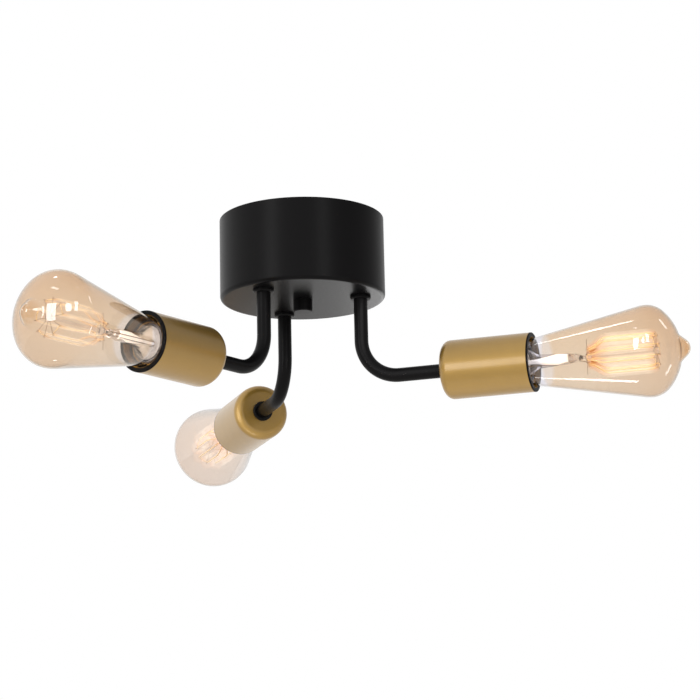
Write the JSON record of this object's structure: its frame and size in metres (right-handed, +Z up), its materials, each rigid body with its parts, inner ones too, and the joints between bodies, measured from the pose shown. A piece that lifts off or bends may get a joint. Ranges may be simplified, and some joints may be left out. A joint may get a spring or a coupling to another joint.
{
  "type": "semi flush ceiling light",
  "caption": "Semi flush ceiling light: black drum canopy, bent tube arms with brass lampholder cups, and pear-shaped amber filament lamps pointing outward.",
  "frame": {"origin": "middle of the ceiling face: the centre of the bracket's two fixing slots, on the plane that lies against the ceiling", "axes": "+Z up into the ceiling along the canopy's axis, -Y towards the front of the pictured view, +X to its right"},
  "size_m": [0.4522, 0.4882, 0.153],
  "materials": {
    "black_powder_coat": "fine satin powder coat",
    "satin_brass": "satin lacquered brass",
    "raw_brass": "bright pressed brass",
    "zinc_steel": "zinc plated",
    "nickel_cap": "nickel plated pressing",
    "nickel_wire": "drawn wire",
    "solder": "dull solder",
    "black_phenolic": "moulded, half gloss",
    "black_vitrite": "fused glass",
    "white_polyamide": "moulded",
    "lead_sheath": "extruded sheath",
    "earth_lead_sheath": "green and yellow sheath",
    "amber_glass": "blown, gold tinted",
    "clear_glass": "drawn clear",
    "glowing_filament": "warm glowing strands"
  },
  "bodies": {
    "fixture": {"ceiling_bracket": "zinc_steel", "centre_stud": "zinc_steel", "stud_nut": "zinc_steel", "canopy": "black_powder_coat", "terminal_block": "white_polyamide", "terminal_sleeves": "raw_brass", "terminal_screws": "zinc_steel", "block_screw": "zinc_steel", "earth_stud": "zinc_steel", "earth_tag": "zinc_steel", "earth_nut": "raw_brass", "earth_lead": "earth_lead_sheath", "arm_lock_washers": "zinc_steel", "arm_lock_nuts": "zinc_steel", "arm_tube_a": "black_powder_coat", "canopy_collar_a": "black_powder_coat", "cup_collar_a": "black_powder_coat", "brass_cup_a": "satin_brass", "lampholder_body_a": "black_phenolic", "screw_shell_a": "raw_brass", "centre_contact_a": "raw_brass", "arm_lead_a": "lead_sheath", "arm_tube_b": "black_powder_coat", "canopy_collar_b": "black_powder_coat", "cup_collar_b": "black_powder_coat", "brass_cup_b": "satin_brass", "lampholder_body_b": "black_phenolic", "screw_shell_b": "raw_brass", "centre_contact_b": "raw_brass", "arm_lead_b": "lead_sheath", "arm_tube_c": "black_powder_coat", "canopy_collar_c": "black_powder_coat", "cup_collar_c": "black_powder_coat", "brass_cup_c": "satin_brass", "lampholder_body_c": "black_phenolic", "screw_shell_c": "raw_brass", "centre_contact_c": "raw_brass", "arm_lead_c": "lead_sheath"},
    "finial": {"finial_nut": "black_powder_coat"},
    "lamp_a": {"lamp_glass_a": "amber_glass", "lamp_cap_a": "nickel_cap", "cap_insulator_a": "black_vitrite", "cap_contact_a": "solder", "lamp_stem_a": "clear_glass", "filament_a": "glowing_filament", "filament_hooks_a": "nickel_wire"},
    "lamp_b": {"lamp_glass_b": "amber_glass", "lamp_cap_b": "nickel_cap", "cap_insulator_b": "black_vitrite", "cap_contact_b": "solder", "lamp_stem_b": "clear_glass", "filament_b": "glowing_filament", "filament_hooks_b": "nickel_wire"},
    "lamp_c": {"lamp_glass_c": "amber_glass", "lamp_cap_c": "nickel_cap", "cap_insulator_c": "black_vitrite", "cap_contact_c": "solder", "lamp_stem_c": "clear_glass", "filament_c": "glowing_filament", "filament_hooks_c": "nickel_wire"}
  },
  "joints": [
    {"name": "finial_unscrew", "type": "slide", "parent": "fixture", "child": "finial", "axis": [0, 0, -1], "range_m": [0, 0.008]},
    {"name": "lamp_a_unscrew", "type": "slide", "parent": "fixture", "child": "lamp_a", "axis": [-0.6239, -0.7815, 0], "range_m": [0, 0.03]},
    {"name": "lamp_b_unscrew", "type": "slide", "parent": "fixture", "child": "lamp_b", "axis": [-0.2974, 0.9548, 0], "range_m": [0, 0.03]},
    {"name": "lamp_c_unscrew", "type": "slide", "parent": "fixture", "child": "lamp_c", "axis": [0.9421, -0.3355, 0], "range_m": [0, 0.03]}
  ]
}
